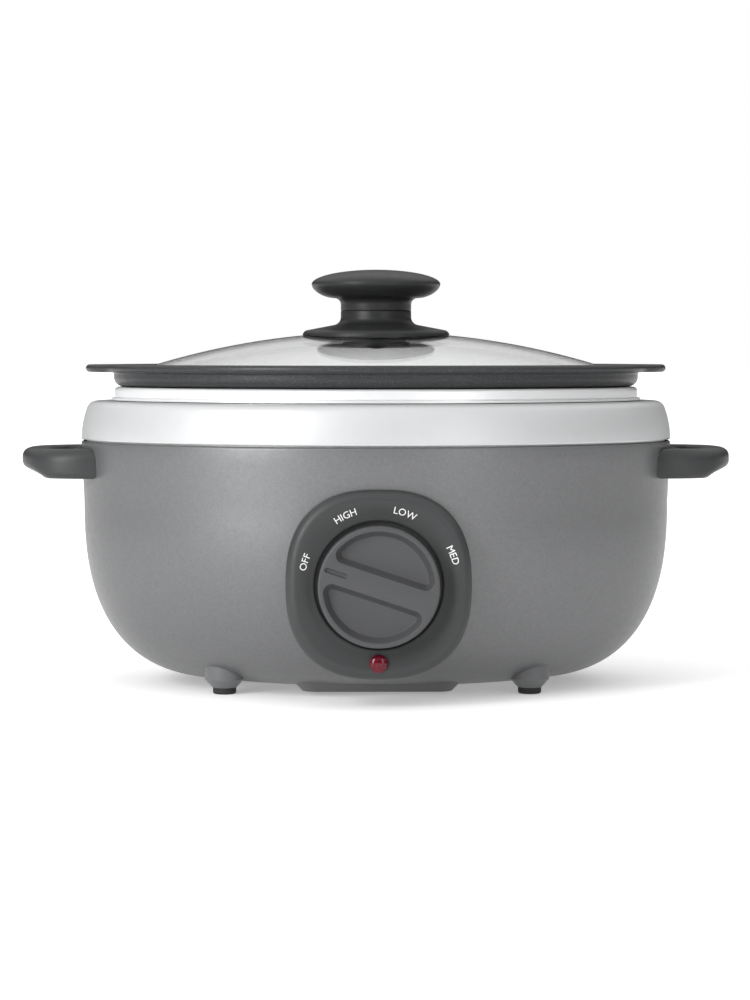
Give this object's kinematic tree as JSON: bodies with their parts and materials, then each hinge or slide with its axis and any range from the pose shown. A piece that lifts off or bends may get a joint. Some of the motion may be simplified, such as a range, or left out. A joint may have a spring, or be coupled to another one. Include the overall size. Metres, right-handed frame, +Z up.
{
  "type": "slow cooker",
  "caption": "Oval slow cooker with painted steel heating base, control dial, side handles, lift-out cooking pot and domed glass lid with mushroom knob.",
  "frame": {"origin": "on the surface it stands on, under the middle of the oval body", "axes": "+Z up, -Y towards the front with the control dial, +X to the right seen from the front"},
  "size_m": [0.389, 0.278, 0.2275],
  "materials": {
    "body_paint": "dark grey metallic, fine texture, satin",
    "rim_silver": "light silver painted, satin",
    "well_aluminium": "bright satin",
    "heater_foil": "dull foil",
    "insulation_wool": "glass wool",
    "zinc_steel": "zinc plated",
    "brass_contact": "plain",
    "cover_black": "moulded, satin",
    "switch_cream": "moulded",
    "fuse_white": "sleeved",
    "bezel_plastic": "moulded, fine spark finish",
    "lens_red": "clear red, domed",
    "lamp_glass": "clear",
    "gland_rubber": "moulded",
    "nut_black": "moulded",
    "handle_plastic": "moulded, satin",
    "foot_plastic": "moulded, body grey",
    "foot_rubber": "moulded",
    "wire_brown": "insulated wire",
    "wire_blue": "insulated wire",
    "wire_glass_sleeve": "braided glass sleeve",
    "wire_red": "insulated wire",
    "wire_amber": "insulated wire",
    "wire_white": "insulated wire",
    "wire_green_yellow": "insulated wire",
    "dial_plastic": "moulded, satin",
    "pot_coating": "non-stick coating with fine specks",
    "clear_glass": "clear toughened glass",
    "seal_silicone": "translucent silicone",
    "ferrule_black": "black, satin",
    "knob_plastic": "moulded, satin"
  },
  "bodies": {
    "base": {"housing": "body_paint", "rim_band": "rim_silver", "heating_well": "well_aluminium", "heater_band": "heater_foil", "heater_terminals": "brass_contact", "heater_clamp": "zinc_steel", "clamp_screw": "zinc_steel", "insulation_blanket": "insulation_wool", "reflector_plate": "heater_foil", "reflector_spacer": "zinc_steel", "reflector_nut": "zinc_steel", "tie_stud": "zinc_steel", "base_nut": "zinc_steel", "base_cover": "cover_black", "thermal_fuse": "fuse_white", "fuse_clip": "zinc_steel", "earth_screw": "brass_contact", "terminal_block": "switch_cream", "terminal_screws": "brass_contact", "switch_case": "switch_cream", "switch_bushing": "zinc_steel", "switch_tabs": "brass_contact", "switch_nut": "zinc_steel", "control_bezel": "bezel_plastic", "bezel_screws": "zinc_steel", "indicator_lens": "lens_red", "neon_lamp": "lamp_glass", "cord_gland": "gland_rubber", "gland_nut": "nut_black", "handle_left": "handle_plastic", "handle_right": "handle_plastic", "handle_screws": "zinc_steel", "foot_socket_front_left": "foot_plastic", "foot_socket_front_right": "foot_plastic", "foot_socket_rear_left": "foot_plastic", "foot_socket_rear_right": "foot_plastic", "foot_pad_front_left": "foot_rubber", "foot_pad_front_right": "foot_rubber", "foot_pad_rear_left": "foot_rubber", "foot_pad_rear_right": "foot_rubber", "foot_clips": "zinc_steel", "live_lead": "wire_brown", "neutral_lead": "wire_blue", "fuse_lead": "wire_glass_sleeve", "high_heat_lead": "wire_red", "low_heat_lead": "wire_amber", "lamp_leads": "wire_white", "earth_lead": "wire_green_yellow"},
    "dial": {"control_dial": "dial_plastic", "dial_clip": "zinc_steel", "switch_shaft": "zinc_steel"},
    "pot": {"cooking_pot": "pot_coating"},
    "lid": {"lid_glass": "clear_glass", "lid_seal": "seal_silicone", "lid_ferrule": "ferrule_black", "lid_screw": "ferrule_black", "lid_knob_base": "knob_plastic", "lid_knob_cap": "knob_plastic"}
  },
  "joints": [
    {"name": "dial_turn", "type": "hinge", "parent": "base", "child": "dial", "pos_m": [0, -0.13, 0.0638], "axis": [0, 1, 0], "range_deg": [0, 139]},
    {"name": "pot_lift", "type": "slide", "parent": "base", "child": "pot", "axis": [0, 0, 1], "range_m": [0, 0.13]},
    {"name": "lid_lift", "type": "slide", "parent": "pot", "child": "lid", "axis": [0, 0, 1], "range_m": [0, 0.08]}
  ]
}
